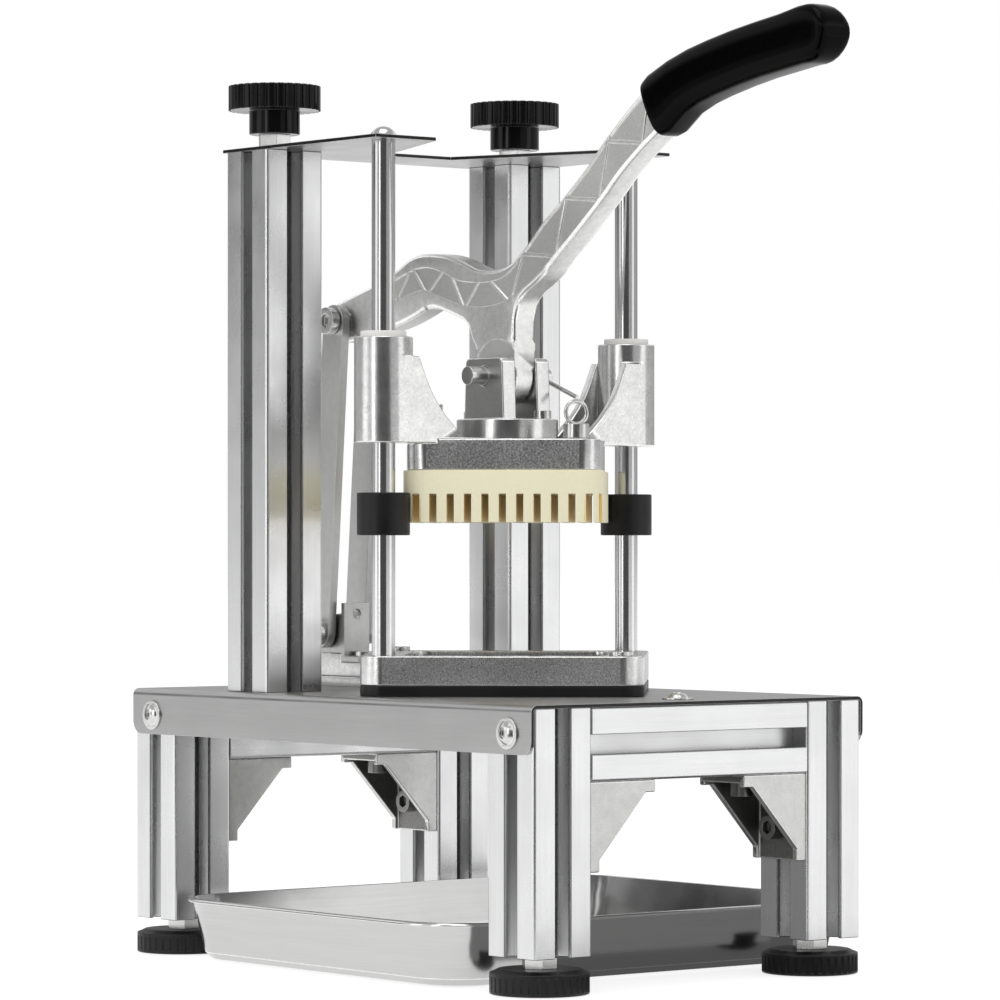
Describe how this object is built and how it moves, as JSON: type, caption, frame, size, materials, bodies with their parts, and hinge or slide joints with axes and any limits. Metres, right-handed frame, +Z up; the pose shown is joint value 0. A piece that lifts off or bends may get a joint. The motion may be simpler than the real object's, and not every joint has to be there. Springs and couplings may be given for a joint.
{
  "type": "lever-operated french fry cutter",
  "caption": "Upright lever press that pushes food through a crossed blade frame into a tray below, on a slotted-profile stand with clamp knobs and levelling feet.",
  "frame": {"origin": "on the tray's rest face, at the foot of the press axis through the middle of the blade opening", "axes": "+X to the operator's right, +Y to the back, +Z up; the feet and the tray stand on Z = 0"},
  "size_m": [0.234, 0.3673, 0.3954],
  "materials": {
    "profile": "satin anodised",
    "cast_metal": "cast, blasted and tumbled",
    "sheet_steel": "brushed sheet",
    "fastener": "plated",
    "rod_steel": "polished",
    "blade_steel": "ground",
    "black_plastic": "gloss",
    "black_rubber": "matt",
    "soft_grip": "smooth dipped",
    "white_nylon": "matt",
    "ivory_plastic": "satin"
  },
  "bodies": {
    "stand": {"leg_front_left": "profile", "leg_front_right": "profile", "leg_rear_left": "profile", "leg_rear_right": "profile", "front_beam": "profile", "rear_beam": "profile", "corner_brackets": "cast_metal", "bracket_screws": "fastener", "slot_nuts": "fastener", "table_plate": "sheet_steel", "button_screws": "fastener", "column_left": "profile", "column_right": "profile", "column_screws": "fastener", "top_plate": "sheet_steel", "guide_rod_left": "rod_steel", "guide_rod_right": "rod_steel", "dome_nuts": "rod_steel", "rod_nuts": "fastener", "frame_pad": "black_rubber", "blade_frame": "cast_metal", "blade_set_lower": "blade_steel", "blade_set_upper": "blade_steel", "frame_screws": "fastener", "tail_spacer": "cast_metal", "tail_block": "cast_metal", "link_bracket": "sheet_steel", "link_lower_pin": "fastener", "tail_screws": "fastener"},
    "head": {"head_casting": "cast_metal", "guide_bushes": "white_nylon", "pusher_block": "ivory_plastic", "clevis": "cast_metal", "clevis_screws": "fastener", "pivot_pin": "fastener", "split_pin": "fastener"},
    "front_plunger": {"plunger_front": "fastener"},
    "rear_plunger": {"plunger_rear": "fastener"},
    "lever": {"lever": "cast_metal", "grip": "soft_grip", "link_top_bolt": "fastener"},
    "links": {"links": "sheet_steel", "link_lower_screws": "fastener"},
    "left_bumper": {"bumper_left": "black_rubber"},
    "right_bumper": {"bumper_right": "black_rubber"},
    "left_knob": {"knob_left": "black_plastic", "knob_stud_left": "fastener"},
    "right_knob": {"knob_right": "black_plastic", "knob_stud_right": "fastener"},
    "front_left_foot": {"foot_pad_front_left": "black_rubber", "foot_stud_front_left": "fastener"},
    "front_right_foot": {"foot_pad_front_right": "black_rubber", "foot_stud_front_right": "fastener"},
    "rear_left_foot": {"foot_pad_rear_left": "black_rubber", "foot_stud_rear_left": "fastener"},
    "rear_right_foot": {"foot_pad_rear_right": "black_rubber", "foot_stud_rear_right": "fastener"},
    "tray": {"tray": "sheet_steel"}
  },
  "joints": [
    {"name": "head_slide", "type": "slide", "parent": "stand", "child": "head", "axis": [0, 0, -1], "range_m": [-0.065, 0.0708]},
    {"name": "lever_pivot", "type": "hinge", "parent": "head", "child": "lever", "pos_m": [0, 0, 0.2524], "axis": [1, 0, 0], "range_deg": [-31.3, 34.1]},
    {"name": "link_pivot", "type": "hinge", "parent": "lever", "child": "links", "pos_m": [0, 0.1095, 0.2799], "axis": [1, 0, 0], "range_deg": [-27, 24.8]},
    {"name": "front_plunger_pull", "type": "slide", "parent": "head", "child": "front_plunger", "axis": [0, 0, 1], "range_m": [0, 0.012]},
    {"name": "rear_plunger_pull", "type": "slide", "parent": "head", "child": "rear_plunger", "axis": [0, 0, 1], "range_m": [0, 0.007]},
    {"name": "left_bumper_slide", "type": "slide", "parent": "stand", "child": "left_bumper", "axis": [0, 0, -1], "range_m": [-0.0463, 0.0504]},
    {"name": "right_bumper_slide", "type": "slide", "parent": "stand", "child": "right_bumper", "axis": [0, 0, -1], "range_m": [-0.0463, 0.0504]},
    {"name": "left_knob_turn", "type": "hinge", "parent": "stand", "child": "left_knob", "pos_m": [-0.067, 0.078, 0.366], "axis": [0, 0, 1], "continuous": true},
    {"name": "right_knob_turn", "type": "hinge", "parent": "stand", "child": "right_knob", "pos_m": [0.067, 0.078, 0.366], "axis": [0, 0, 1], "continuous": true},
    {"name": "front_left_foot_turn", "type": "hinge", "parent": "stand", "child": "front_left_foot", "pos_m": [-0.0735, -0.112, 0.005], "axis": [0, 0, 1], "continuous": true},
    {"name": "front_right_foot_turn", "type": "hinge", "parent": "stand", "child": "front_right_foot", "pos_m": [0.0735, -0.112, 0.005], "axis": [0, 0, 1], "continuous": true},
    {"name": "rear_left_foot_turn", "type": "hinge", "parent": "stand", "child": "rear_left_foot", "pos_m": [-0.0735, 0.138, 0.005], "axis": [0, 0, 1], "continuous": true},
    {"name": "rear_right_foot_turn", "type": "hinge", "parent": "stand", "child": "rear_right_foot", "pos_m": [0.0735, 0.138, 0.005], "axis": [0, 0, 1], "continuous": true},
    {"name": "tray_slide", "type": "slide", "parent": "stand", "child": "tray", "axis": [1, 0, 0], "range_m": [-0.25, 0.25]}
  ],
  "couplings": [
    {"joint": "lever_pivot", "follows": "head_slide", "rad_per_m": 8.3776},
    {"joint": "link_pivot", "follows": "head_slide", "rad_per_m": -6.6323},
    {"joint": "left_bumper_slide", "follows": "head_slide", "ratio": 0.7105},
    {"joint": "right_bumper_slide", "follows": "head_slide", "ratio": 0.7105}
  ]
}
